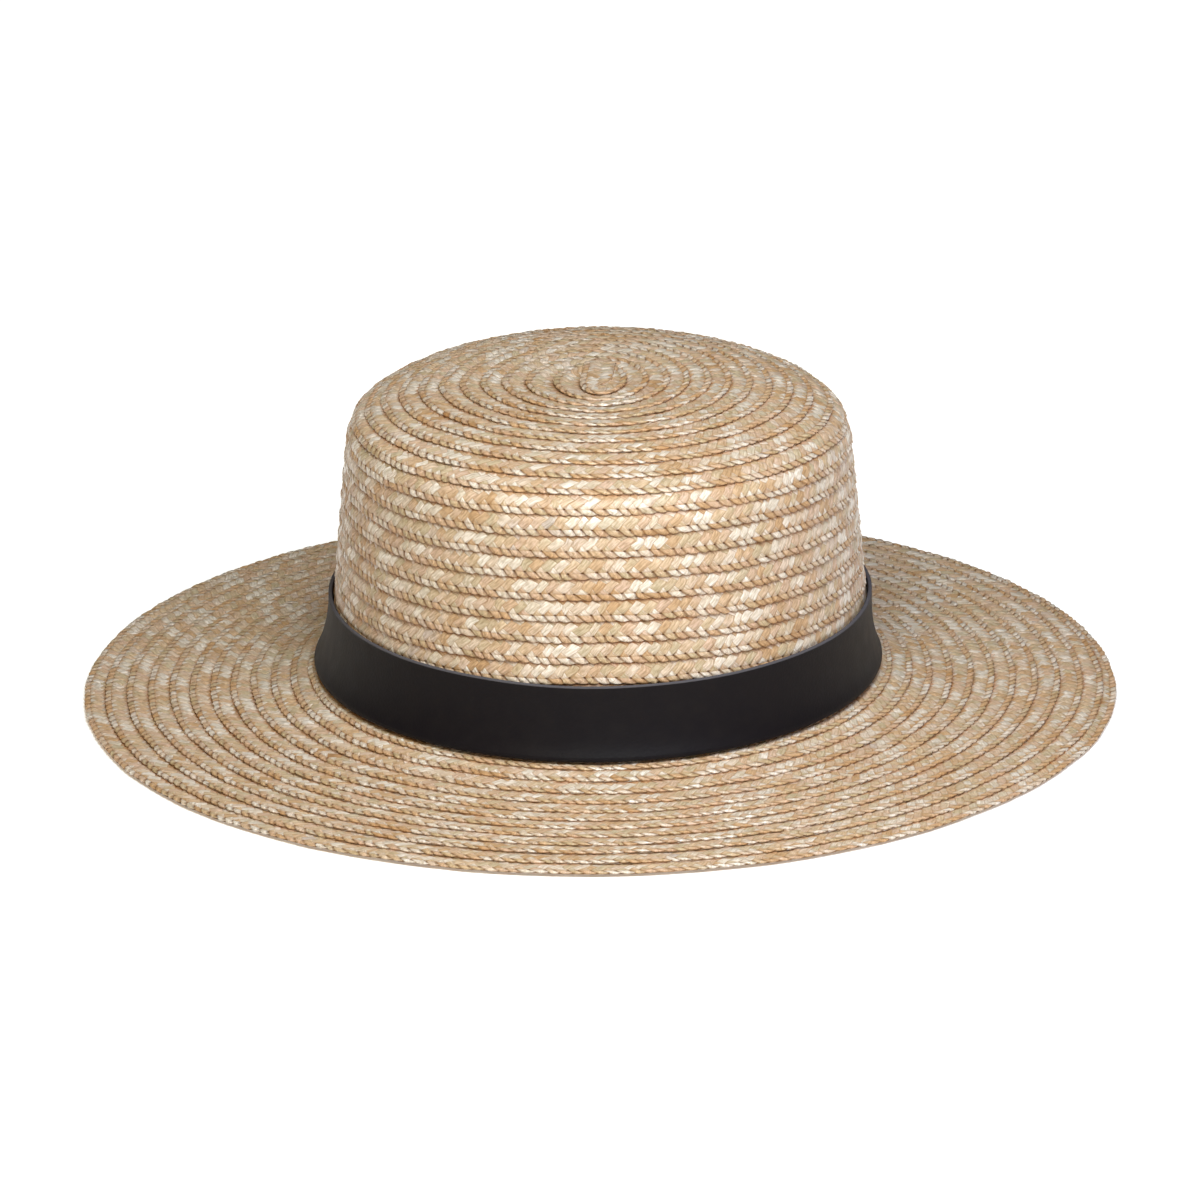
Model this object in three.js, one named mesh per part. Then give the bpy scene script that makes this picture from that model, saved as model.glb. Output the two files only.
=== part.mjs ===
import * as THREE from "three";

// A flat-topped straw hat with a leather band, in millimetres.
// It stands on its brim, the front faces -Y and the long axis of the head runs along Y.

const segmentsRound = 52;      // facets round every oval
const wallThickness = 1.8;     // sewn straw plait
const rowRise = 0.6;           // height of a plait row's outer edge over the next row
const rowDrop = 0.7;           // length of the slope down to the next row
const fitGap = 0.3;            // clearance between neighbouring pieces

// The oval is longer than it is wide by the same amount at every height,
// and by a little less near the middle of the tip.
const extraHalfLength = 15.5;
const extraHalfLengthAtCentre = 8.7;
const ovalSettlesAt = 75;

// Edges of the sewn rows from the middle of the tip down to the crown's lower edge.
const crownRows = [
  { halfWidth: 13.8, height: 100.6 },
  { halfWidth: 20.3, height: 100.6 },
  { halfWidth: 26.8, height: 100.6 },
  { halfWidth: 33.3, height: 100.5 },
  { halfWidth: 39.8, height: 100.2 },
  { halfWidth: 46.2, height: 99.7 },
  { halfWidth: 52.6, height: 98.8 },
  { halfWidth: 59.0, height: 97.5 },
  { halfWidth: 65.2, height: 95.7 },
  { halfWidth: 71.2, height: 93.3 },
  { halfWidth: 76.6, height: 89.9 },
  { halfWidth: 79.1, height: 84.3 },
  { halfWidth: 79.9, height: 78.0 },
  { halfWidth: 80.6, height: 71.5 },
  { halfWidth: 81.2, height: 65.0 },
  { halfWidth: 81.8, height: 58.6 },
  { halfWidth: 82.4, height: 52.1 },
  { halfWidth: 83.0, height: 45.7 },
  { halfWidth: 83.6, height: 39.3 },
  { halfWidth: 84.2, height: 32.9 },
  { halfWidth: 84.6, height: 26.4 },
  { halfWidth: 85.2, height: 20.0 },
  { halfWidth: 86.7, height: 13.9 },
];
const insideRowSkip = 2;       // the inner face takes every second row edge

// Collar that stands inside the crown's lower edge.
const collarTop = 26.0;
const collarThickness = 1.6;
const collarFoot = [
  { halfWidth: 84.3, height: 13.4 },
  { halfWidth: 85.6, height: 11.2 },
];

// Edges of the sewn rows of the brim, from under the band out to the rim.
const brimRows = [
  { halfWidth: 87.6, height: 9.8 },
  { halfWidth: 93.7, height: 7.9 },
  { halfWidth: 100.0, height: 6.0 },
  { halfWidth: 106.3, height: 4.8 },
  { halfWidth: 112.8, height: 4.1 },
  { halfWidth: 119.3, height: 3.6 },
  { halfWidth: 125.8, height: 3.2 },
  { halfWidth: 132.3, height: 2.9 },
  { halfWidth: 138.8, height: 2.6 },
  { halfWidth: 145.3, height: 2.4 },
  { halfWidth: 151.8, height: 2.1 },
  { halfWidth: 158.2, height: 1.5 },
  { halfWidth: 164.6, height: 0.9 },
];

// Underside of the brim from the rim to the head opening.
const restingRingInner = 157.0;
const brimUnderside = [
  { halfWidth: 151.8, height: 0.4 },
  { halfWidth: 138.8, height: 0.9 },
  { halfWidth: 125.8, height: 1.5 },
  { halfWidth: 112.8, height: 2.4 },
  { halfWidth: 100.0, height: 4.2 },
  { halfWidth: 93.0, height: 6.1 },
  { halfWidth: 87.0, height: 8.0 },
  { halfWidth: 83.6, height: 11.2 },
];

// Leather band, its inner face from the top edge down to the brim.
const bandThickness = 1.5;
const bandFace = [
  { halfWidth: 85.2, height: 33.5 },
  { halfWidth: 85.5, height: 27.0 },
  { halfWidth: 86.1, height: 20.5 },
  { halfWidth: 87.7, height: 14.4 },
  { halfWidth: 88.5, height: 12.0 },
  { halfWidth: 89.5, height: 9.9 },
];
const lapLength = 16;          // the strap's end lies over its start at the back
const lapStep = 0.6;           // run of the step down from the strap's cut end

const strawColour = 0xcfa975;
const leatherColour = 0x1c1b1f;

// Unit step from one edge to the next, and the direction that faces outward from it.
function directions(from, to) {
  const run = to.halfWidth - from.halfWidth;
  const fall = to.height - from.height;
  const length = Math.hypot(run, fall);
  return { along: [run / length, fall / length], out: [-fall / length, run / length] };
}

function movedBy(point, direction, distance) {
  return {
    halfWidth: point.halfWidth + direction[0] * distance,
    height: point.height + direction[1] * distance,
  };
}

// The line moved sideways by one distance, square to the mean of its neighbours' directions.
function offsetLine(line, distance) {
  return line.map((point, index) => {
    const before = line[Math.max(index - 1, 0)];
    const after = line[Math.min(index + 1, line.length - 1)];
    return movedBy(point, directions(before, after).out, distance);
  });
}

// Overlapping rows: each one climbs to its outer edge and drops to the next.
function shingledLine(edges) {
  const line = [edges[0]];
  for (let row = 0; row + 1 < edges.length; row += 1) {
    const way = directions(edges[row], edges[row + 1]);
    line.push(movedBy(edges[row], way.along, rowDrop));
    line.push(movedBy(edges[row + 1], way.out, rowRise));
  }
  return line;
}

function extraAt(halfWidth) {
  const share = Math.min(halfWidth / ovalSettlesAt, 1);
  return extraHalfLengthAtCentre + (extraHalfLength - extraHalfLengthAtCentre) * share;
}

function ovalPoint(point, angle) {
  const halfLength = point.halfWidth + extraAt(point.halfWidth);
  return [point.halfWidth * Math.cos(angle), halfLength * Math.sin(angle), point.height];
}

function evenAngles() {
  return Array.from({ length: segmentsRound }, (_, step) => (2 * Math.PI * step) / segmentsRound);
}

// Rings of points joined into a skin; the ring list runs down the outside and back up the inside.
function skinOfRings(rings, closed) {
  const corners = [];
  const round = rings[0].length;
  const lastBand = closed ? rings.length : rings.length - 1;
  for (let level = 0; level < lastBand; level += 1) {
    const upper = rings[level];
    const lower = rings[(level + 1) % rings.length];
    for (let step = 0; step < round; step += 1) {
      const next = (step + 1) % round;
      corners.push(upper[step], lower[step], lower[next]);
      corners.push(upper[step], lower[next], upper[next]);
    }
  }
  return corners;
}

// A fan that closes a ring at the middle of the tip, facing up or down.
function fanOverRing(ring, facesUp) {
  const middle = [0, 0, ring[0][2]];
  const corners = [];
  ring.forEach((point, step) => {
    const next = ring[(step + 1) % ring.length];
    corners.push(middle, ...(facesUp ? [point, next] : [next, point]));
  });
  return corners;
}

function meshFrom(name, corners, colour, roughness) {
  const geometry = new THREE.BufferGeometry();
  geometry.setAttribute("position", new THREE.Float32BufferAttribute(corners.flat(), 3));
  geometry.computeVertexNormals();
  const material = new THREE.MeshStandardMaterial({ color: colour, roughness, metalness: 0 });
  const mesh = new THREE.Mesh(geometry, material);
  mesh.name = name;
  return mesh;
}

// Tip and side wall in one hollow shell, open at the bottom.
function buildCrown() {
  const outside = shingledLine(crownRows);
  const innerEdges = crownRows.filter((_, row) => row % insideRowSkip === 0);
  const inside = offsetLine(innerEdges, -wallThickness).reverse();
  const angles = evenAngles();
  const rings = [...outside, ...inside].map((point) => angles.map((angle) => ovalPoint(point, angle)));
  const corners = [
    ...fanOverRing(rings[0], true),
    ...skinOfRings(rings, false),
    ...fanOverRing(rings[rings.length - 1], false),
  ];
  return meshFrom("crown", corners, strawColour, 0.55);
}

// The collar follows the crown's inner face one fit gap further in.
function collarLine() {
  const nearLowerEdge = crownRows.filter((edge) => edge.height < collarTop);
  const faces = offsetLine([crownRows[crownRows.length - 4], ...nearLowerEdge], -(wallThickness + fitGap));
  const upper = { halfWidth: faces[0].halfWidth, height: collarTop };
  return [upper, faces[1], ...collarFoot];
}

// Collar, the turn outward under the band, and the brim down to its flat resting ring.
function buildBrim() {
  const collar = collarLine();
  const top = shingledLine(brimRows);
  const rim = brimRows[brimRows.length - 1];
  const underRim = { halfWidth: rim.halfWidth, height: 0 };
  const restingEdge = { halfWidth: restingRingInner, height: 0 };
  const collarInside = offsetLine(collar.slice(0, 2), -collarThickness).reverse();
  const outline = [...collar, ...top, underRim, restingEdge, ...brimUnderside, ...collarInside];
  const angles = evenAngles();
  const rings = outline.map((point) => angles.map((angle) => ovalPoint(point, angle)));
  return meshFrom("brim", skinOfRings(rings, true), strawColour, 0.55);
}

// Even facets, plus the edges of the lap at the back of the band.
function bandAngles() {
  const backHalfLength = bandFace[0].halfWidth + extraHalfLength;
  const back = Math.PI / 2;
  const reach = lapLength / 2 / bandFace[0].halfWidth;
  const step = lapStep / backHalfLength;
  const lapEdges = [back - reach - step, back - reach, back + reach];
  const outsideLap = evenAngles().filter((angle) => Math.abs(angle - back) > reach + 2 * step);
  return [...outsideLap, ...lapEdges, back].sort((first, second) => first - second);
}

// The strap is one layer thick, and two at the lap.
function bandLayers(angle) {
  const reach = lapLength / 2 / bandFace[0].halfWidth;
  const fromBack = angle - Math.PI / 2;
  return fromBack >= -reach - 1e-9 && fromBack < reach - 1e-9 ? 2 : 1;
}

// One layer at a time, so the lapped end keeps the thickness of the strap.
function buildBand() {
  const angles = bandAngles();
  const inside = [...bandFace].reverse();
  const outsideByLayers = [1, 2].map((layers) => offsetLine(bandFace, bandThickness * layers));
  const outerRings = bandFace.map((_, level) =>
    angles.map((angle) => ovalPoint(outsideByLayers[bandLayers(angle) - 1][level], angle)));
  const innerRings = inside.map((point) => angles.map((angle) => ovalPoint(point, angle)));
  return meshFrom("hat_band", skinOfRings([...outerRings, ...innerRings], true), leatherColour, 0.5);
}

const hat = new THREE.Group();
hat.name = "straw_hat";
hat.add(buildCrown(), buildBrim(), buildBand());
export default hat;
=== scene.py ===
import math

import bpy
import numpy as np
from mathutils import Matrix, Vector


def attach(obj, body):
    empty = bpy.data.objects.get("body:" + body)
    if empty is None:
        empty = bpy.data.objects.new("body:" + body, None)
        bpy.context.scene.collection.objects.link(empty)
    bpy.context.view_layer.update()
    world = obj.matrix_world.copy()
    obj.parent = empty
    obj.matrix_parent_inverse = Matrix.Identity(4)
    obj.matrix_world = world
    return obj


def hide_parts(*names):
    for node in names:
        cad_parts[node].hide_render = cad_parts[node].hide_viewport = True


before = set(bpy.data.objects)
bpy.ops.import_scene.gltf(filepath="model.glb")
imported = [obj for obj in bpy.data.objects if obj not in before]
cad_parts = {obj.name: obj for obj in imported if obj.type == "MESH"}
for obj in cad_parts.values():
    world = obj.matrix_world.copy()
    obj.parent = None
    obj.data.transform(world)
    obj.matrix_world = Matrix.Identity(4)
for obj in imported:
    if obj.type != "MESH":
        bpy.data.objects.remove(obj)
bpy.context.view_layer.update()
mm = 0.001

# The form is in millimetres. Its rows are the lower edges of every sewn row, from the middle of
# the tip over the shoulder, down the wall and out to the rim: half width and height. Row 1 is first.
hatForm = {
    "rows": [
        (13.8, 100.6), (20.3, 100.6), (26.8, 100.6), (33.3, 100.5), (39.8, 100.2),
        (46.2, 99.7), (52.6, 98.8), (59.0, 97.5), (65.2, 95.7), (71.2, 93.3),
        (76.6, 89.9), (79.1, 84.3), (79.9, 78.0), (80.6, 71.5), (81.2, 65.0),
        (81.8, 58.6), (82.4, 52.1), (83.0, 45.7), (83.6, 39.3), (84.2, 32.9),
        (84.6, 26.4), (85.1, 20.0), (86.0, 13.9), (88.8, 9.6),
        (93.7, 7.9), (100.0, 6.0), (106.3, 4.8), (112.8, 4.1), (119.3, 3.6),
        (125.8, 3.2), (132.3, 2.9), (138.8, 2.6), (145.3, 2.4), (151.8, 2.1),
        (158.2, 1.5), (164.6, 0.9),
    ],
    "rowPitch": 6.5,
    "rowsInward": 4,             # rows that run on past the centre, under the straight length
    "stepsPerRow": 16,
    "extraHalfLength": 15.5,     # how much longer than wide the oval is, each way
    "extraAtCentre": 8.7,
    "ovalSettlesAt": 75.0,       # the half width from which it is that much longer
    "straightStart": 23.0,       # the plait begins with a straight length across the centre
    "straightTurn": 0.25,        # the turn at which it begins to bend round
    "crownLean": (0.8, 12.0, 30.0),   # how far it stands to the right, growing between two heights
    # Turn of the spiral and the row that its lower edge has reached. It drifts out evenly,
    # and the last turns are eased so that the rim is an even oval.
    "spiral": [
        (-1, -1.5), (32, 31.5), (32.5, 32.0), (33, 32.6), (33.5, 33.02), (34, 33.7),
        (34.25, 33.85), (34.5, 34.05), (35, 34.85), (35.25, 34.95), (35.5, 35.05),
        (35.75, 35.4), (36, 36.0), (37, 36.0),
    ],
    # How far the rows stand off that even spiral, in rows outward: degrees round from the
    # front, positive to the right, and below them one line for each of some rows.
    "strayAngles": (-180, -135, -90, -70, -50, -30, -15, 0, 20, 50, 70, 90, 180),
    "stray": {
        0: (0, 0, 0, 0, 0, 0, 0, 0, 0, 0, 0, 0, 0),
        2: (0.15, 0.5, 0.8, 0.5, 0.1, -0.25, -0.4, -0.4, -0.4, -0.2, -0.05, 0.1, 0.15),
        8: (0.2, 0.55, 0.9, 0.55, 0.05, -0.28, -0.45, -0.43, -0.42, -0.2, -0.03, 0.13, 0.2),
        12: (0.1, 0.2, 0.33, 0.33, 0.32, 0.08, -0.11, -0.23, -0.2, 0.04, 0.16, 0.29, 0.1),
        21: (0.24, 0.36, 0.47, 0.46, 0.46, 0.21, 0.05, -0.09, -0.06, 0.18, 0.31, 0.44, 0.24),
        25: (0.0, -0.05, -0.02, 0.03, 0.02, -0.27, -0.38, -0.41, -0.42, -0.2, -0.22, -0.24, 0.0),
        29: (0.0, -0.07, -0.07, 0.0, 0.02, -0.3, -0.38, -0.39, -0.39, -0.31, -0.23, -0.16, 0.0),
        34: (0.0, -0.05, -0.05, -0.08, -0.15, -0.5, -0.63, -0.68, -0.67, -0.47, -0.16, 0.0, 0.0),
        36: (0.0, -0.05, -0.08, -0.13, -0.17, -0.38, -0.43, -0.43, -0.41, -0.26, 0.02, 0.08, 0.0),
    },
}


def throughPoints(points, steps):
    # a smooth line through all the points
    padded = np.vstack([2 * points[0] - points[1], points, 2 * points[-1] - points[-2]])
    share = np.linspace(0, 1, steps, endpoint=False)[:, None]
    runs = []
    for a, b, c, d in zip(padded, padded[1:], padded[2:], padded[3:]):
        bend = 2 * a - 5 * b + 4 * c - d
        twist = 3 * b - a - 3 * c + d
        runs.append(0.5 * (2 * b + (c - a) * share + bend * share**2 + twist * share**3))
    runs.append(points[-1:])
    return np.vstack(runs)


def alongAndOut(line):
    # the directions along a line of points and out from it
    along = np.gradient(line, axis=0)
    along /= np.linalg.norm(along, axis=1, keepdims=True)
    return along, np.stack([-along[:, 1], along[:, 0]], -1)


def formTable(form):
    rows, inward = np.array(form["rows"]), form["rowsInward"]
    before = [rows[0] - [form["rowPitch"] * step, 0] for step in range(inward, 0, -1)]
    after = [2 * rows[-1] - rows[-2]]
    line = throughPoints(np.vstack([before, rows, after]), form["stepsPerRow"])
    rowAt = 1 - inward + np.arange(len(line)) / form["stepsPerRow"]
    out = alongAndOut(line)[1]
    return {"row": rowAt, "halfWidth": line[:, 0], "height": line[:, 1],
            "outSide": out[:, 0], "outUp": out[:, 1]}


formLine = formTable(hatForm)


def crownLean(height):
    lean, low, high = hatForm["crownLean"]
    return lean * np.clip((height - low) / (high - low), 0, 1)


def onHat(rowAt, turn, lift):
    # points on the hat, lift millimetres out from its surface
    columns = ("halfWidth", "height", "outSide", "outUp")
    facts = [np.interp(rowAt, formLine["row"], formLine[column]) for column in columns]
    halfWidth, height, outSide, outUp = facts
    straightTurn = hatForm["straightTurn"]
    angle = math.pi / 2 + 2 * math.pi * np.maximum(turn, straightTurn)
    share = np.clip(halfWidth / hatForm["ovalSettlesAt"], 0, 1)
    gain = hatForm["extraHalfLength"] - hatForm["extraAtCentre"]
    halfLength = halfWidth + hatForm["extraAtCentre"] + gain * share
    sideX, sideY = halfLength * np.cos(angle), halfWidth * np.sin(angle)
    norm = np.sqrt(sideX**2 + sideY**2) + 1e-9
    x = halfWidth * np.cos(angle) + lift * outSide * sideX / norm
    y = halfLength * np.sin(angle) + lift * outSide * sideY / norm
    straight = np.maximum(straightTurn - turn, 0) / straightTurn
    y = y + straight * hatForm["straightStart"]
    return np.stack([x + crownLean(height), y, height + lift * outUp], axis=-1)


def spiralRow(turn):
    # the row that the plait's lower edge has reached
    turns, reached = zip(*hatForm["spiral"])
    row = np.interp(turn, turns, reached)
    angle = (np.asarray(turn) * 360) % 360 - 180
    rows = list(hatForm["stray"])
    stray = 0
    for nearRow, line in zip(np.eye(len(rows)), hatForm["stray"].values()):
        stray = stray + np.interp(angle, hatForm["strayAngles"], line) * np.interp(row, rows, nearRow)
    return row + stray


def waver(along, wave):
    # smooth handmade unevenness; a wave is how much, over what length in millimetres, and its seed
    amount, wavelength, seed = wave
    draw = np.random.default_rng(seed)
    total = 0
    for stretch, weight in ((1.0, 0.5), (0.61, 0.3), (0.37, 0.2), (1.73, 0.3)):
        total = total + weight * np.sin(2 * math.pi * (along / (wavelength * stretch) + draw.random()))
    return amount * total


# One repeat of the plait: straws lie on a lattice of half pitches along the row (i) and steps
# across it (j), from the upper edge to the lower one, and neighbours share their edges. Floats lie
# below and above the middle, the turned straw goes round the lower edge, and the rest is filled in.
upperEdge, lowerEdge = -4, 2
floatStraw, turnedStraw, upperStraw, restStraw = range(4)
kinds = 8                        # these four on the outer face, and again on the inner one
# marks a painted highlight along the crease of a turned straw, on its side that faces the lamps
glintMark = 3

plaitForm = {
    "pitch": 3.6,                # from one straw to the next along the row
    "reach": 3,                  # columns that one repeat runs on over
    "width": 9.9,
    "stepAt": (0.0, 1.65, 3.45, 4.9, 6.2, 8.05, 9.9),   # from the upper edge to each lattice step
    "thickness": 0.62,
    "sunk": 0.2,                 # how far the upper edge lies below the form line
    "outerRelief": 0.27,
    "innerRelief": 0.2,
    "slant": 1.15,               # how far back along the row the upper ends of the floats lean
    "outerCuts": (0, 0.2, 0.8, 1),    # where faces meet across a straw, and along each half of it
    "innerCuts": (0, 0.5, 1),
    "shownFrom": 3.4,            # the part nearer the upper edge lies under the row above
    "coveredDip": (0.1, 0.9),    # depth and reach of a dark gap below the edge of the row above
    "sideSeam": 0.3,             # how high the straws meet along their sides
    "endDip": 0.25,              # height left where a straw dives under its neighbour
    "gapDepth": -0.11,           # between the turned straws of the lower edge
    "holeDepth": -1.4,
    # painted shade: how dark the holes, and the gaps that run on from them, are painted
    "holeShades": (1, 0.55, 0.3, 0.2),   # how dark the hole is, and the gap that runs on from it
    # painted shade on the underside of the lip, which faces away from the lamps
    "underShades": (0.2, 1.0),    # how dark the lip is underneath, on a straw and between two
    # height of the turned straws, against their distance from the upper edge in lattice steps
    "turnedLift": (
        (0.2, 1.0), (0.6, 1.0), (1.0, 0.35), (1.2, 0.85), (1.6, 1.2), (1.8, 1.05), (2.0, 0.1),
    ),
    "turnedSide": 0.75,          # their height along their sides, as a share of that
    "turnedFade": 0.4,           # lattice steps over which they take the warmer tint given to the turned edge
    "foldLift": 0.1,             # and at the very edge
    "hiddenEdge": -0.3,          # lift of the upper edge, where it is covered and where it shows
    "openEdge": 0.3,
    "lip": ((0.12, 0.3), (0.05, 0.72)),   # how far the lower edge rolls out, at two depths
    "lipNotch": 0.45,
    "driftMiddle": 8,            # larger keeps the drift to the middle of the plait
    "shadeReach": 0.55,          # how far the shade of the row above reaches
    "shadeTurns": (0.7, 0.3),    # the turn at which there is a row above, and how soon it shades
    "endTurn": 0.7,              # where the plait begins, its cut end turns down
    "endDrop": 1.2,
    "endShade": 2.4,
    "grain": (2.4, 1.25),        # how fine the straw's grain is, along it and across
}


class PlaitTile:
    # spots are the vertices of one repeat and faces its faces; a corner is a tuple of
    # side, i, j, lift, seam, along, across and a mark: up to 1 for a hole's painted shade, else a
    # crease's painted highlight
    def __init__(self):
        self.spots = {}
        self.faces = []

    def spot(self, side, i, j, lift, seam, kind, onward, sideways):
        # its number, and how many repeats on from this one it lies
        cell = math.floor(i / 2 + 1e-6)
        key = (side, round(i - 2 * cell, 4), round(j, 4))
        if key not in self.spots:
            facts = (side, i - 2 * cell, j, lift, seam, cell, kind, onward, sideways)
            self.spots[key] = (len(self.spots), *facts)
        return self.spots[key][0], cell

    def face(self, corners, kind, flipped=None):
        # faces outward by the order of its corners, unless flipped says how they go
        if flipped is None:
            area = 0
            for a, b in zip(corners, corners[1:] + corners[:1]):
                area += a[1] * b[2] - b[1] * a[2]
            flipped = area > 0
        if flipped:
            corners = corners[::-1]
        record = []
        for side, i, j, lift, seam, along, across, mark in corners:
            index, cell = self.spot(side, i, j, lift, seam, kind, along - 1, across)
            record.append((index, cell, along, across, seam, mark))
        self.faces.append((record, kind + kinds // 2 * (corners[0][0] == 1)))

    def floatPoint(self, side, step, fromEnd, cut, kind):
        # lift and mark of a point on a float, which on the outer face dips before its ends
        mark = 1 if kind == floatStraw and step == 0 and cut == 1 else 0
        if fromEnd == 0:
            return 0, mark
        if cut in (0, 1):
            return plaitForm["sideSeam"], mark
        return plaitForm["endDip"] if fromEnd == 1 and side == 0 else 1, mark

    def turnedPoint(self, step, last, cut, j):
        # lift and mark of a point on the straw that turns at the lower edge
        if cut == 0:
            depth = plaitForm["holeDepth"] if step == 0 else plaitForm["gapDepth"]
            return depth, plaitForm["holeShades"][step]
        low = cut == 1 or step == 0
        lift = self.turnedLift(j) * (plaitForm["turnedSide"] if low else 1)
        if cut < 1 or step == 0:
            return lift, 0
        # the side of the turned straw that faces the lamps gets the mark of a painted highlight
        return lift, 1 if step == last else glintMark

    def turnedLift(self, j):
        steps, lifts = zip(*plaitForm["turnedLift"])
        return float(np.interp(j, steps, lifts))

    def straw(self, side, origin, along, across, halves, cuts, kind):
        # a strip of faces from its origin on, so many half pitches long
        lengths = [half + cut for half in range(halves) for cut in cuts[:-1]] + [halves]
        last = len(lengths) - 1
        turned = kind == turnedStraw
        grid = []
        for step, length in enumerate(lengths):
            fromEnd = step if turned else min(step, last - step)
            line = []
            for cut in cuts:
                i = origin[0] + along[0] * length + across[0] * cut
                j = origin[1] + along[1] * length + across[1] * cut
                if turned:
                    lift, mark = self.turnedPoint(step, last, cut, j)
                else:
                    lift, mark = self.floatPoint(side, step, fromEnd, cut, kind)
                seam = 1 if fromEnd == 0 or cut in (0, 1) or (turned and length == cut) else 0
                line.append((side, i, j, lift, seam, length, 2 * cut - 1, mark))
            grid.append(line)
        for step, (near, far) in enumerate(zip(grid, grid[1:])):
            for cell in range(len(cuts) - 1):
                quad = [near[cell], near[cell + 1], far[cell + 1], far[cell]]
                if not turned or step > cell:
                    self.face(quad, kind)
                elif step < cell:
                    self.face(quad, restStraw)
                else:
                    self.face(quad[:3], restStraw)
                    self.face([quad[0], *quad[2:]], kind)

    def fold(self, side, cuts):
        # the straw turns over at the lower edge: a fan from the tooth's corner down to the edge
        form = plaitForm
        last = len(cuts) - 1
        rows = [[(side, 3, 1, form["holeDepth"], 1, 1, 1, form["holeShades"][0])]]
        for step in range(1, len(cuts)):
            left = (2 + cuts[-1 - step], 2 - cuts[-1 - step])
            right = (3 + cuts[step], 1 + cuts[step])
            line = []
            for place in range(step + 1):
                share = place / step
                i = left[0] + (right[0] - left[0]) * share
                j = left[1] + (right[1] - left[1]) * share
                atGap = place == step
                atFold = step == last and place in (0, step)
                lift, mark = self.turnedLift(j), 0
                if atFold:
                    lift, mark = form["foldLift"], form["holeShades"][-1]
                elif atGap:
                    lift, mark = form["gapDepth"], form["holeShades"][step]
                seam = 1 if atGap or atFold else 0
                line.append((side, i, j, lift, seam, 1 + step / last, 2 * share - 1, mark))
            rows.append(line)
        for upper, lower in zip(rows, rows[1:]):
            for place in range(len(upper)):
                self.face([upper[place], lower[place], lower[place + 1]], turnedStraw)
                if place + 1 < len(upper):
                    self.face([upper[place], lower[place + 1], upper[place + 1]], turnedStraw)
        return rows[-1]

    def join(self, first, second, kind, flipped=None):
        # faces between two lines of corners that run side by side over one repeat
        a = b = 0
        while a < len(first) - 1 or b < len(second) - 1:
            secondDone = b == len(second) - 1
            if secondDone or (a < len(first) - 1 and first[a + 1][1] <= second[b + 1][1]):
                self.face([first[a], first[a + 1], second[b]], kind, flipped)
                a += 1
            else:
                self.face([first[a], second[b + 1], second[b]], kind, flipped)
                b += 1

    def surface(self, side, cuts, whole):
        # a whole one has its straws up to the upper edge, where no row covers it
        self.straw(side, (1, 1), (1, 1), (1, -1), 1, cuts, turnedStraw)
        foldLine = self.fold(side, cuts)
        self.straw(side, (0, 0), (1, -1), (1, 1), 2, cuts, floatStraw)
        halves = 2 if whole else 1
        self.straw(side, (3, -1), (-1, -1), (1, -1), halves, cuts, upperStraw)
        # the floats' ends make a zigzag, and the rest is filled in from there to the upper edge
        start = 3 - halves
        zigzag = [(side, start + cut, -1 - halves - cut, 0, 1, 0, 0, 0) for cut in cuts[:-1]]
        zigzag += [(side, start + 1 + cut, -2 - halves + cut, 0, 1, 0, 0, 0) for cut in cuts]
        places, lift = (2, 3, 4), plaitForm["hiddenEdge"]
        if whole:
            onward = [(side, i + 2, *rest) for _, i, *rest in zigzag[1:len(cuts)]]
            zigzag = zigzag[len(cuts) - 1:] + onward
            places, lift = (2, 4), plaitForm["openEdge"]
        upper = [(side, i, upperEdge, lift, 1, 1, 0, 0) for i in places]
        self.join(zigzag, upper, restStraw)
        return foldLine, upper


def plaitTile(whole=False):
    # the outer face is side 0, the inner face side 1, and sides 2 and 3 round the lower edge
    tile = PlaitTile()
    outerFold, outerUpper = tile.surface(0, plaitForm["outerCuts"], whole)
    innerFold, innerUpper = tile.surface(1, plaitForm["innerCuts"], whole)
    lip, under = [], []
    for _, i, _, _, seam, along, across, mark in outerFold:
        lip.append((2, i, lowerEdge, 0, seam, along, across, mark))
        under.append((3, i, lowerEdge, 0, seam, along, across, plaitForm["underShades"][seam]))
    tile.join(outerFold, lip, turnedStraw, True)
    tile.join(lip, under, turnedStraw, True)
    tile.join(under, innerUpper, turnedStraw, True)
    tile.join(outerUpper, innerFold, turnedStraw, False)
    return tile


sewing = {
    "midLine": 6.0,              # across the plait, where its pitch is measured
    "samplesPerTurn": 720,
    "turns": 36.98,
    # handmade unevenness, as waver takes it
    "zigzagDrift": (0.3, 33, 3),
    "pitchDrift": (0.5, 19, 4),
    "rowDrift": (0.035, 47, 6),  # in rows
    "lumpiness": (0.1, 27, 7),
    "strawTilt": 0.085,
    "widthSpread": 0.24,
    "innerSpread": 0.5,          # the share of it that the inner face has
    "reliefSpread": 0.4,
    "grainShift": 40,
    "paleRuns": ((1, 30, 8), (0.45, 13, 9)),   # bleached straws come in runs, also as waver takes it
    "paleChance": 0.4,
    "paleShare": 0.05,           # higher gives more bleached straws
    "paleSoftness": 0.7,
    "comesBack": 7.0,            # how far along a float shows again as a turned straw
    "levelStart": (0.4, 0.5),    # the turns that lie level on top, and how soon they sink
    "levelHeight": 1.75,         # in thicknesses of the plait
    "lastTurn": 36,              # from here on no row follows
    "tuckFade": 0.08,
    "spareColumns": 16,
    "seed": 11,
}


def spiralLength():
    turns = np.linspace(0, sewing["turns"], int(sewing["turns"] * sewing["samplesPerTurn"]))
    rowAt = spiralRow(turns) - (plaitForm["width"] - sewing["midLine"]) / hatForm["rowPitch"]
    line = onHat(rowAt, turns, 0)
    steps = np.linalg.norm(np.diff(line, axis=0), axis=1)
    return turns, np.concatenate([[0], np.cumsum(steps)])


spiralTurns, spiralRun = spiralLength()
lastColumn = int(spiralRun[-1] / plaitForm["pitch"]) - plaitForm["reach"]


def columnAt(turn):
    return int(np.interp(turn, spiralTurns, spiralRun) / plaitForm["pitch"])


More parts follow.
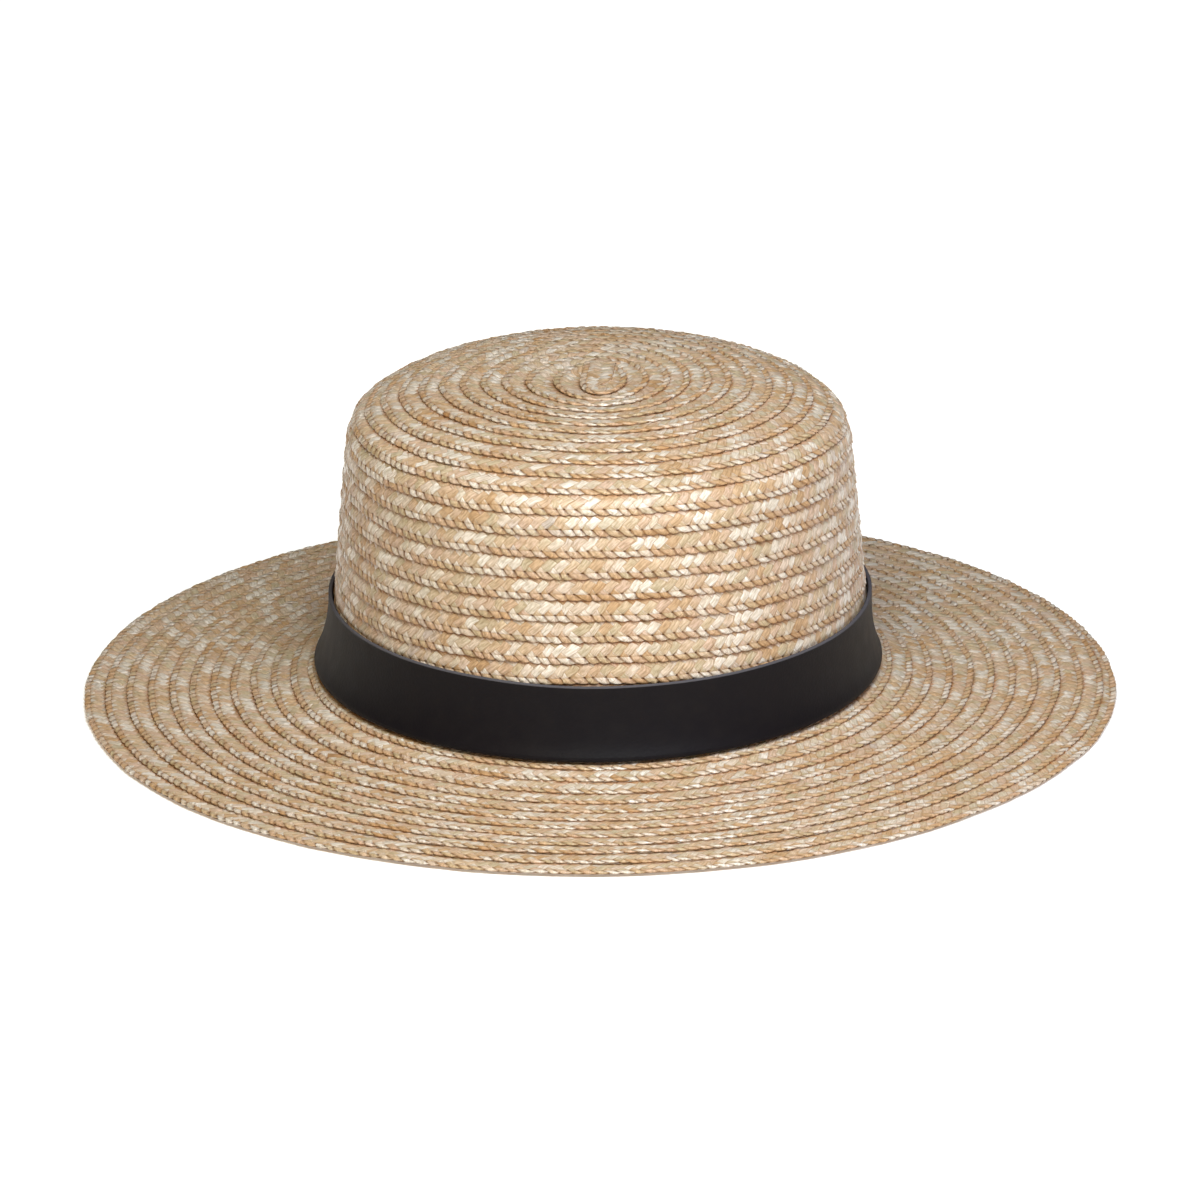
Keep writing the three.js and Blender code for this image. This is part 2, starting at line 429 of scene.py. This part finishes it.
class StrawDraw:
    # the chance of each straw: one row for a column, one place for each kind of straw in it
    def __init__(self):
        draw = np.random.default_rng(sewing["seed"])
        shape = (lastColumn + sewing["spareColumns"], kinds)
        crossing = shape[0] + sewing["spareColumns"]
        self.gain = 1 + sewing["reliefSpread"] * draw.uniform(-1, 1, shape)
        self.lean = sewing["strawTilt"] * draw.normal(0, 1, shape)
        self.pitch = sewing["strawTilt"] * draw.normal(0, 1, shape)
        self.rising = sewing["widthSpread"] * draw.normal(0, 1, crossing)
        self.falling = sewing["widthSpread"] * draw.normal(0, 1, crossing)
        self.tone = draw.random(shape)
        self.slide = draw.random(shape) * sewing["grainShift"]
        later = np.arange(kinds) % (kinds // 2) * sewing["comesBack"]
        run = np.arange(shape[0])[:, None] * plaitForm["pitch"] + later
        patch = sum(waver(run, wave) for wave in sewing["paleRuns"])
        patch = patch + sewing["paleChance"] * draw.uniform(-1, 1, shape)
        self.pale = np.clip((patch + sewing["paleShare"]) / sewing["paleSoftness"], 0, 1)


chance = StrawDraw()


def spotAcross(side, j, seam, along):
    # millimetres from the plait's upper edge
    form = plaitForm
    across = np.interp(j, np.arange(upperEdge, lowerEdge + 1), form["stepAt"])
    across = np.where(side == 1, form["width"] - across, across)
    middle = np.clip((j - upperEdge) * (lowerEdge - j) / form["driftMiddle"], 0, 1)
    across = across + waver(along, sewing["zigzagDrift"]) * middle
    lipOut = np.array([0, 0, *(out for out, _ in form["lip"])])[side]
    notch = (j == lowerEdge) & (seam == 1)
    return across + lipOut - np.where(notch, form["lipNotch"], 0)


def spotRun(columns, side, i, j, along):
    # millimetres along the spiral, with wide and narrow straws that rise and fall across the plait
    rising = columns + (i + j) / 2 - upperEdge
    falling = columns + (i - j) / 2 - upperEdge
    places = np.arange(len(chance.rising))
    uneven = np.interp(rising, places, chance.rising) + np.interp(falling, places, chance.falling)
    uneven = uneven * np.where(side == 1, sewing["innerSpread"], 1)
    return along + waver(along, sewing["pitchDrift"]) + uneven


def startAndTuck(turn, across):
    # the first length of plait lies level on top, and the last turn tucks under the one before it
    thickness, last = plaitForm["thickness"], sewing["lastTurn"]
    levelTurns, sinking = sewing["levelStart"]
    level = 1 - np.clip((turn - levelTurns) / sinking, 0, 1)
    tilt = (across - plaitForm["shownFrom"]) / hatForm["rowPitch"]
    start = level * thickness * (sewing["levelHeight"] - tilt)
    onNext = spiralRow(turn) - spiralRow(np.minimum(turn + 1, last + 1)) + 1
    tuck = thickness * np.clip(onNext, 0, 1) * (turn < last)
    tuck = tuck + thickness * np.clip(1 - (turn - last) / sewing["tuckFade"], 0, 1) * (turn >= last)
    return start + tuck


def plaitLevel(turn, across, along, run):
    # height of the plait over the form line, without its straws' relief
    form, thickness = plaitForm, plaitForm["thickness"]
    level = thickness * (across - form["shownFrom"]) / hatForm["rowPitch"] - form["sunk"]
    depth, reach = form["coveredDip"]
    level = level - depth * np.clip((form["shownFrom"] + reach - across) / reach, 0, 1)
    level = level + startAndTuck(turn, across) + waver(along, sewing["lumpiness"])
    return level - np.clip(1 - run / form["endTurn"], 0, 1) * form["endDrop"] * thickness


def strawRelief(side, lift, seam, onward, sideways, owner, kind):
    # height of the straws over the plait's level, and below it on its inner face and lip
    form, thickness = plaitForm, plaitForm["thickness"]
    relief = np.where(side == 1, form["innerRelief"], form["outerRelief"])
    raised = lift * np.where((seam == 0) & (lift > 0), chance.gain[owner, kind], 1) * relief
    tilt = chance.lean[owner, kind] * sideways + chance.pitch[owner, kind] * onward
    raised = raised + np.where(seam == 0, tilt, 0)
    lipDown = np.array([0, 0, *(down for _, down in form["lip"])])[side]
    return raised - np.where(side == 1, thickness + 2 * raised, lipDown * thickness)


def spotShade(side, turn, rowAt, run):
    # how far each place is under the edge of the row above, and in the shade of the cut end
    form = plaitForm
    shownBy = (rowAt - spiralRow(turn - 1)) * hatForm["rowPitch"] / form["shadeReach"]
    fromTurn, fade = form["shadeTurns"]
    covered = np.clip(1 - shownBy, 0, 1) * (side == 0) * np.clip((turn - fromTurn) / fade, 0, 1)
    return np.maximum(covered, np.clip(2 - 2 * run / form["endShade"], 0, 1))


def plaitPlaces(tile, columns):
    # a row for each column: where its spots are, how far covered, and how far turned at the edge
    form = plaitForm
    facts = np.array(sorted(tile.spots.values()), float).T
    side, cell, straw = facts[[1, 6, 7]].astype(int)
    i, j, lift, seam, onward, sideways = facts[[2, 3, 4, 5, 8, 9]]
    kind = straw + kinds // 2 * (side == 1)
    owner = np.clip(columns - cell, 0, len(chance.gain) - 1)
    along = (columns + i / 2) * form["pitch"]
    along = along - form["slant"] * np.interp(j, (upperEdge, -2, 0), (0, 1, 0))
    across = spotAcross(side, j, seam, along)
    run = spotRun(columns, side, i, j, along)
    turn = np.interp(np.maximum(run, 0), spiralRun, spiralTurns)
    rowAt = spiralRow(turn) - (form["width"] - across) / hatForm["rowPitch"]
    rowAt = rowAt + waver(along, sewing["rowDrift"]) * np.clip(turn, 0, 1)
    relief = strawRelief(side, lift, seam, onward, sideways, owner, kind)
    places = onHat(rowAt, turn, plaitLevel(turn, across, along, run) + relief) * mm
    rolled = np.clip((j - 1) / form["turnedFade"], 0, 1) * (straw == turnedStraw)
    return places, spotShade(side, turn, rowAt, run), np.broadcast_to(rolled, turn.shape)


def put(name, data):
    made = bpy.data.objects.new(name, data)
    bpy.context.scene.collection.objects.link(made)
    return made


def markCorners(mesh, label, values):
    layer = mesh.attributes.new(label, "FLOAT", "CORNER")
    layer.data.foreach_set("value", np.asarray(values, np.float32).ravel())


def crispSeams(mesh, onSeam):
    # edges between two seam vertices stay sharp
    ends = np.empty(len(mesh.edges) * 2, np.int32)
    mesh.edges.foreach_get("vertices", ends)
    crisp = onSeam[ends].reshape(-1, 2).all(axis=1)
    mesh.attributes.new("sharp_edge", "BOOLEAN", "EDGE").data.foreach_set("value", crisp)


def gridMesh(name, places, index, totals):
    mesh = bpy.data.meshes.new(name)
    mesh.vertices.add(len(places))
    mesh.vertices.foreach_set("co", places.astype(np.float32).ravel())
    mesh.loops.add(len(index))
    mesh.loops.foreach_set("vertex_index", index.astype(np.int32).ravel())
    mesh.polygons.add(len(totals))
    mesh.polygons.foreach_set("loop_start", (np.cumsum(totals) - totals).astype(np.int32))
    mesh.polygons.foreach_set("use_smooth", np.ones(len(totals), bool))
    return mesh


def layGrain(mesh, along, across, owner, kind):
    # every straw has its own stretch of grain
    fine = plaitForm["grain"]
    u = along * fine[0] + chance.slide[owner, kind]
    v = across * fine[1] + chance.slide[owner, (kind + 3) % kinds]
    flow = mesh.uv_layers.new(name="strawFlow")
    flow.data.foreach_set("uv", np.stack([u, v], -1).astype(np.float32).ravel())


def sewnPlait(name, tile, firstColumn, endColumn):
    columns = np.arange(firstColumn, endColumn + plaitForm["reach"])[:, None]
    places, covered, rolled = plaitPlaces(tile, columns)
    sizes = np.array([len(record) for record, _ in tile.faces])
    corners = np.array([corner for record, _ in tile.faces for corner in record], float)
    spot, cell, along, across, seam, mark = corners.T
    kind = np.repeat([kind for _, kind in tile.faces], sizes)
    count = endColumn - firstColumn
    shift = np.arange(count)[:, None]
    owner = firstColumn + shift
    placeOf = ((shift + cell.astype(int)) * len(tile.spots) + spot.astype(int)).ravel()
    used, index = np.unique(placeOf, return_inverse=True)
    totals = np.tile(sizes, count)
    mesh = gridMesh(name, places.reshape(-1, 3)[used], index, totals)
    layGrain(mesh, along, across, owner, kind)
    markCorners(mesh, "strawTone", chance.tone[owner, kind])
    markCorners(mesh, "strawPale", chance.pale[owner, kind])
    markCorners(mesh, "strawSeam", np.tile(seam, count))
    # painted shade in the holes, the gaps and under the lip
    markCorners(mesh, "strawHole", np.tile(np.where(mark == glintMark, 0, mark), count))
    # painted highlight along the lit crease of each turned straw
    markCorners(mesh, "strawCrease", np.tile(mark == glintMark, count))
    markCorners(mesh, "strawTurned", rolled.ravel()[placeOf])
    markCorners(mesh, "strawCovered", covered.ravel()[placeOf])
    mesh.update(calc_edges=True)
    onSeam = np.zeros(len(used), bool)
    onSeam[index[np.tile(seam, count) > 0.5]] = True
    crispSeams(mesh, onSeam)
    print("sewn", name, "columns", count, "triangles", int((totals - 2).sum()))
    return put(name, mesh)


class Wire:
    # a socket that can be used in sums
    def __init__(self, finish, socket):
        self.finish, self.socket = finish, socket

    def join(self, operation, first, second):
        return self.finish.node("ShaderNodeMath", {"operation": operation}, {0: first, 1: second})

    def __add__(self, other):
        return self.join("ADD", self, other)

    def __sub__(self, other):
        return self.join("SUBTRACT", self, other)

    def __rsub__(self, other):
        return self.join("SUBTRACT", other, self)

    def __mul__(self, other):
        return self.join("MULTIPLY", self, other)

    def __pow__(self, other):
        return self.join("POWER", self, other)

    __radd__ = __add__
    __rmul__ = __mul__


class Finish:
    def __init__(self, name, **fixed):
        self.material = bpy.data.materials.new(name)
        self.material.use_nodes = True
        self.tree = self.material.node_tree
        self.shader = self.tree.nodes["Principled BSDF"]
        for socket, value in fixed.items():
            self.set(socket, value)

    def plug(self, socket, value):
        if isinstance(value, Wire):
            self.tree.links.new(value.socket, socket)
        else:
            socket.default_value = value

    def set(self, name, value):
        self.plug(self.shader.inputs[name], value)

    def node(self, kind, settings=None, sockets=None, output=0):
        made = self.tree.nodes.new(kind)
        for key, value in (settings or {}).items():
            if key == "stops":
                while len(made.color_ramp.elements) < len(value):
                    made.color_ramp.elements.new(0.5)
                for element, (position, colour) in zip(made.color_ramp.elements, value):
                    element.position = position
                    element.color = (*colour, 1)
            else:
                setattr(made, key, value)
        for key, value in (sockets or {}).items():
            self.plug(made.inputs[key], value)
        return Wire(self, made.outputs[output])

    def value(self, label):
        return self.node("ShaderNodeAttribute", {"attribute_name": label}, output="Fac")

    def blend(self, share, first, second, how="MIX"):
        settings = {"data_type": "RGBA", "blend_type": how}
        colours = [c if isinstance(c, Wire) else (*c, 1) for c in (first, second)]
        return self.node("ShaderNodeMix", settings, {0: share, 6: colours[0], 7: colours[1]}, 2)

    def tint(self, share, colour, by):
        # colour times by, over the share of it that is tinted
        return self.blend(share, colour, self.blend(1.0, colour, by, "MULTIPLY"))

    def depth(self, value, powers):
        parts = {place: value**power for place, power in enumerate(powers)}
        return self.node("ShaderNodeCombineColor", None, parts)

    def scaled(self, vector, factors):
        return self.node("ShaderNodeVectorMath", {"operation": "MULTIPLY"}, {0: vector, 1: factors})

    def clamp(self, value):
        return self.node("ShaderNodeClamp", None, {"Value": value})

    def noise(self, vector, scale, detail):
        sockets = {"Vector": vector, "Scale": scale, "Detail": detail, "Roughness": 0.5}
        return self.node("ShaderNodeTexNoise", None, sockets, "Fac")

    def bump(self, height, strength, distance):
        sockets = {"Strength": strength, "Distance": distance, "Height": height}
        self.set("Normal", self.node("ShaderNodeBump", None, sockets, "Normal"))


strawFinish = {
    "fixed": {"Coat Roughness": 0.22, "IOR": 1.5, "Specular IOR Level": 0.4},
    "tones": [
        (0.0, (0.4, 0.198, 0.079)), (0.12, (0.51, 0.301, 0.148)), (0.3, (0.58, 0.376, 0.214)),
        (0.42, (0.6, 0.405, 0.279)), (0.54, (0.62, 0.432, 0.265)), (0.66, (0.53, 0.414, 0.261)),
        (0.78, (0.62, 0.424, 0.265)), (0.9, (0.59, 0.47, 0.39)), (1.0, (0.5, 0.405, 0.325)),
    ],
    "toneSpread": (0.55, 0.75, 0.15),   # by straw, by patch, and what is taken off
    "patchScale": 45.0,
    "fibreScale": (0.35, 2.2, 1),
    "streakScale": (0.2, 0.75, 1),
    "shade": (0.13, 1.2, 0.55),  # what is always there, of the fibres and of the streaks
    "shadePowers": (1.0, 1.22, 1.6),    # a darker straw is a redder one
    "turnedTint": (1.0, 0.93, 0.82),
    "pale": (0.81, 0.7, 0.58), "paleCover": 0.85,
    # painted highlight on the crease of a turned straw, where it faces the lamps
    "crease": (0.86, 0.8, 0.7), "glintCover": 0.9,
    # painted shade in the grooves where the straws meet
    "seam": (0.34, 0.15, 0.03), "seamShadeCover": 0.45,
    # painted shade in the holes and gaps of the turned straws and under the lip, where light does not
    # reach
    "hole": (0.12, 0.042, 0.009), "holeShadeCover": 0.8,
    # painted shade under the edge of the row above, and at the plait's cut end
    "coveredShade": (0.52, 0.25, 0.08),
    "roughness": 0.36, "fibreRoughness": 0.16, "paleRoughness": -0.12, "holeRoughness": 0.4,
    "gloss": (0.1, 0.4, 0.2),    # of every straw, of a pale one and of a turned one
    "glossSpread": (0.4, 1.2),
    "bump": (0.6, 0.00015), "fibreBump": 0.8,
}


def strawMarks(straw):
    labels = ("Tone", "Pale", "Seam", "Hole", "Crease", "Turned", "Covered")
    return {label.lower(): straw.value("straw" + label) for label in labels}


def strawColour(straw, mark, fibre, streak):
    form = strawFinish
    byStraw, byPatch, less = form["toneSpread"]
    patch = straw.noise(straw.node("ShaderNodeTexCoord", output="Object"), form["patchScale"], 2)
    hue = mark["tone"] * byStraw + patch * byPatch - less
    colour = straw.node("ShaderNodeValToRGB", {"stops": form["tones"]}, {"Fac": hue})
    colour = straw.tint(mark["turned"], colour, form["turnedTint"])
    colour = straw.blend(mark["pale"] * form["paleCover"], colour, form["pale"])
    least, ofFibre, ofStreak = form["shade"]
    shade = straw.depth(least + fibre * ofFibre + streak * ofStreak, form["shadePowers"])
    colour = straw.blend(1.0, colour, shade, "MULTIPLY")
    # painted highlight on the lit crease of the turned straws
    colour = straw.blend(mark["crease"]**2 * form["glintCover"], colour, form["crease"])
    # painted shade in the grooves where the straws meet
    colour = straw.blend(mark["seam"]**4 * form["seamShadeCover"], colour, form["seam"])
    # painted shade under the edge of the row above, and at the plait's cut end
    colour = straw.tint(mark["covered"], colour, form["coveredShade"])
    # painted shade darkens the holes, the gaps and the lip's underside
    hole = straw.clamp(mark["hole"] * (form["holeShadeCover"] + mark["tone"]))
    return straw.blend(hole, colour, form["hole"])


def wheatStraw():
    form = strawFinish
    straw = Finish("wheatStraw", **form["fixed"])
    mark = strawMarks(straw)
    flow = straw.node("ShaderNodeUVMap", {"uv_map": "strawFlow"})
    fibre = straw.noise(straw.scaled(flow, form["fibreScale"]), 1.0, 3)
    streak = straw.noise(straw.scaled(flow, form["streakScale"]), 1.0, 1)
    straw.set("Base Color", strawColour(straw, mark, fibre, streak))
    rough = form["roughness"] + fibre * form["fibreRoughness"] + mark["pale"] * form["paleRoughness"]
    straw.set("Roughness", rough + mark["hole"] * form["holeRoughness"])
    base, ofPale, ofTurned = form["gloss"]
    least, ofTone = form["glossSpread"]
    gloss = base + mark["pale"] * ofPale + mark["turned"] * ofTurned
    gloss = (least + mark["tone"] * ofTone) * gloss * (1 - mark["hole"])
    straw.set("Coat Weight", straw.clamp(gloss))
    straw.bump(fibre * form["fibreBump"] - mark["seam"]**3, *form["bump"])
    return straw.material


leatherFinish = {
    "fixed": {"IOR": 1.45, "Specular IOR Level": 0.22},
    "face": (0.0058, 0.0042, 0.0062),
    "worn": (0.011, 0.0085, 0.0085),
    "cutEdge": (0.088, 0.08, 0.088),
    "grainScale": 1100.0,
    "mottleScale": 160.0,
    "roughness": 0.46, "mottleRoughness": 0.12, "cutRoughness": 0.3,
    "bump": (0.25, 0.0002), "grainBump": 0.6,
}


def blackLeather():
    form = leatherFinish
    leather = Finish("blackLeather", **form["fixed"])
    place = leather.node("ShaderNodeTexCoord", output="Object")
    sockets = {"Vector": place, "Scale": form["grainScale"]}
    grain = leather.node("ShaderNodeTexVoronoi", {"feature": "F1"}, sockets, "Distance")
    mottle = leather.noise(place, form["mottleScale"], 4)
    cut = leather.value("cutEdge")
    colour = leather.blend(mottle**2, form["face"], form["worn"])
    leather.set("Base Color", leather.blend(cut, colour, form["cutEdge"]))
    rough = form["roughness"] + mottle * form["mottleRoughness"] + cut * form["cutRoughness"]
    leather.set("Roughness", rough)
    leather.bump(grain * form["grainBump"] + mottle, *form["bump"])
    return leather.material


bandForm = {
    # inner face of the strap from its top edge down: half width and height
    "face": [(85.2, 33.5), (85.3, 28.5), (85.9, 22.5), (86.8, 18.0), (87.9, 14.2), (89.6, 10.3)],
    "thickness": 1.3,
    "edgeRound": 0.3,
    "steps": 3,
    "columns": 320,
    "lap": 16.0,                 # its end lies over its start at the back
    "lapRise": 1.65,
    "wave": (0.25, 150, 21),     # how far its top edge sways up and down
    "waveHeights": (10, 24),     # the height where that begins, and over how much it grows
    "meanExtra": 8,              # makes the half width the radius of a circle as long as the oval
}


def strapSection():
    # closed outline of the strap, down its outer face and up the inner one, and where it is cut
    face = throughPoints(np.array(bandForm["face"]), bandForm["steps"])
    along, out = alongAndOut(face)
    soft = bandForm["edgeRound"]
    inner, outer = face.copy(), face + out * bandForm["thickness"]
    top = [inner[0] + out[0] * soft, outer[0] - out[0] * soft]
    below = outer[0] + along[0] * soft * 2
    foot = [outer[-1] - out[-1] * soft, inner[-1] + out[-1] * soft]
    for line in (inner, outer):
        line[0] = line[0] + along[0] * soft
        line[-1] = line[-1] - along[-1] * soft
    outline = np.vstack([*top, outer[0], below, outer[1:], *foot, inner[::-1]])
    cut = np.zeros(len(outline))
    cut[:3] = 1
    return outline, cut


def strapRings(outline):
    # the outline at every column round the crown
    form = bandForm
    halfWidth = form["face"][0][0]
    reach = form["lap"] / 2 / (2 * math.pi * halfWidth)
    turns = np.linspace(-reach, 1 + reach, form["columns"])[:, None]
    rise = np.clip((turns - (1 - 3 * reach)) / (2 * reach), 0, 1)
    rise = form["lapRise"] * rise * rise * (3 - 2 * rise)
    sway = waver(turns * 2 * math.pi * (halfWidth + form["meanExtra"]), form["wave"])
    still, over = form["waveHeights"]
    wide = outline[:, 0] + rise
    height = outline[:, 1] + sway * np.clip((outline[:, 1] - still) / over, 0, 1)
    angle = math.pi / 2 + 2 * math.pi * turns
    x = wide * np.cos(angle) + crownLean(height)
    y = (wide + hatForm["extraHalfLength"]) * np.sin(angle)
    return np.stack([x, y, height], -1).reshape(-1, 3)


def strapFaces(count):
    faces = []
    for column in range(bandForm["columns"] - 1):
        for place in range(count):
            following = (place + 1) % count
            a, b = column * count + place, column * count + following
            faces.append((a, a + count, b + count, b))
    last = (bandForm["columns"] - 1) * count
    return faces + [tuple(range(count)), tuple(range(last + count - 1, last - 1, -1))]


def hatBand(name):
    outline, cut = strapSection()
    count = len(outline)
    faces = strapFaces(count)
    mesh = bpy.data.meshes.new(name)
    mesh.from_pydata((strapRings(outline) * mm).tolist(), [], faces)
    mesh.polygons.foreach_set("use_smooth", np.ones(len(faces), bool))
    ends = [len(face) == count for face in faces]
    marks = [1 if end else cut[corner % count] for end, face in zip(ends, faces) for corner in face]
    markCorners(mesh, "cutEdge", marks)
    mesh.update()
    print("cut the band from", count, "by", bandForm["columns"], "points")
    return put(name, mesh)


studio = {
    "middle": (0, 0, 0.05),      # the camera's and the lamps' places are taken from here
    "distance": 2.0244,
    "elevation": 17.416,
    "lens": 191.1,
    "aim": (0.00073, 0.0, 0.0281),
    "roll": 0.554,
    "floorTone": (0.93, 0.93, 0.93),
    "floorSize": 40.0,
    "floorGlow": (0.2, 1.0),
    "glowFrom": (-0.1, 0.45),    # where the floor begins to glow more, and where it does so fully
    "glowTone": (1.0, 0.96, 0.88),
    "worldTone": (1.0, 0.93, 0.82),
    "worldStrength": 0.06,
    "lamps": [
        # where it stands, size, watts, tone
        ((0.15, -0.4, 1.0), 0.3, 2.8, (0.75, 0.8, 1.0)),
        ((0.0, -0.45, 0.6), 0.3, 3.7, (0.82, 1.0, 1.0)),
        ((0.3, -0.5, 0.55), 0.3, 2.0, (0.86, 0.82, 0.92)),
        ((-0.5, -0.9, 1.1), 0.7, 3.4, (1.0, 0.55, 0.12)),
    ],
}


def placeCamera():
    lens = bpy.data.cameras.new("camera")
    lens.lens = studio["lens"]
    lens.sensor_width = 36
    lens.clip_end = 100
    tilt = math.radians(studio["elevation"])
    back = Vector((0, -math.cos(tilt), math.sin(tilt))) * studio["distance"]
    stand = back + Vector(studio["middle"])
    turned = (Vector(studio["aim"]) - stand).to_track_quat("-Z", "Y").to_matrix().to_4x4()
    turned = turned @ Matrix.Rotation(math.radians(-studio["roll"]), 4, "Z")
    camera = put("camera", lens)
    camera.matrix_world = Matrix.Translation(stand) @ turned
    bpy.context.scene.camera = camera


def placeLamps():
    for number, (stand, size, watts, tone) in enumerate(studio["lamps"]):
        light = bpy.data.lights.new("softbox" + str(number), "AREA")
        light.shape = "SQUARE"
        light.size = size
        light.energy = watts
        light.color = tone
        lamp = put("softbox" + str(number), light)
        lamp.location = stand
        towards = Vector(studio["middle"]) - Vector(stand)
        lamp.rotation_euler = towards.to_track_quat("-Z", "Y").to_euler()
    world = bpy.data.worlds.new("studioAir")
    world.use_nodes = True
    air = world.node_tree.nodes["Background"]
    air.inputs["Color"].default_value = (*studio["worldTone"], 1)
    air.inputs["Strength"].default_value = studio["worldStrength"]
    bpy.context.scene.world = world


def palePaint():
    # the floor glows more behind the object than before it
    fixed = {"Base Color": (*studio["floorTone"], 1), "Roughness": 0.9, "Emission Strength": 1.0}
    paint = Finish("palePaint", **fixed)
    place = paint.node("ShaderNodeTexCoord", output="Object")
    behind = paint.node("ShaderNodeSeparateXYZ", None, {0: place}, 1)
    low, high = studio["floorGlow"]
    near, far = studio["glowFrom"]
    glow = low + (high - low) * paint.clamp((behind - near) * (1 / (far - near)))
    paint.set("Emission Color", paint.scaled(glow, studio["glowTone"]))
    return paint.material


def layFloor():
    half = studio["floorSize"] / 2
    corners = [(-half, -half, 0), (half, -half, 0), (half, half, 0), (-half, half, 0)]
    mesh = bpy.data.meshes.new("floor")
    mesh.from_pydata(corners, [], [(0, 1, 2, 3)])
    mesh.materials.append(palePaint())
    floor = put("floor", mesh)


placeCamera()
placeLamps()
layFloor()
bpy.context.scene.view_settings.view_transform = "Standard"
print("studio stands")

tile, wholeTile = plaitTile(), plaitTile(whole=True)
straw = wheatStraw()
# name, the solid that it replaces, and the turns of the spiral from which and up to which it goes
pieces = [
    ("start_plait", "crown", 0.0, 0.62),
    ("tip_plait", "crown", 0.62, 10.75),
    ("wall_plait_upper", "crown", 10.75, 17.2),
    ("wall_plait_lower", "crown", 17.2, 23.5),
    ("brim_plait_inner", "brim", 23.5, 28.75),
    ("brim_plait_middle", "brim", 28.75, 33.1),
    ("brim_plait_outer", "brim", 33.1, 37.5),
]
for name, node, firstTurn, endTurn in pieces:
    first, end = columnAt(firstTurn), min(columnAt(endTurn), lastColumn)
    piece = sewnPlait(name, wholeTile if firstTurn == 0 else tile, first, end)
    piece.data.materials.append(straw)
    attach(piece, "root")
    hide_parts(node)

band = hatBand("leather_band")
band.data.materials.append(blackLeather())
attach(band, "root")
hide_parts("hat_band")
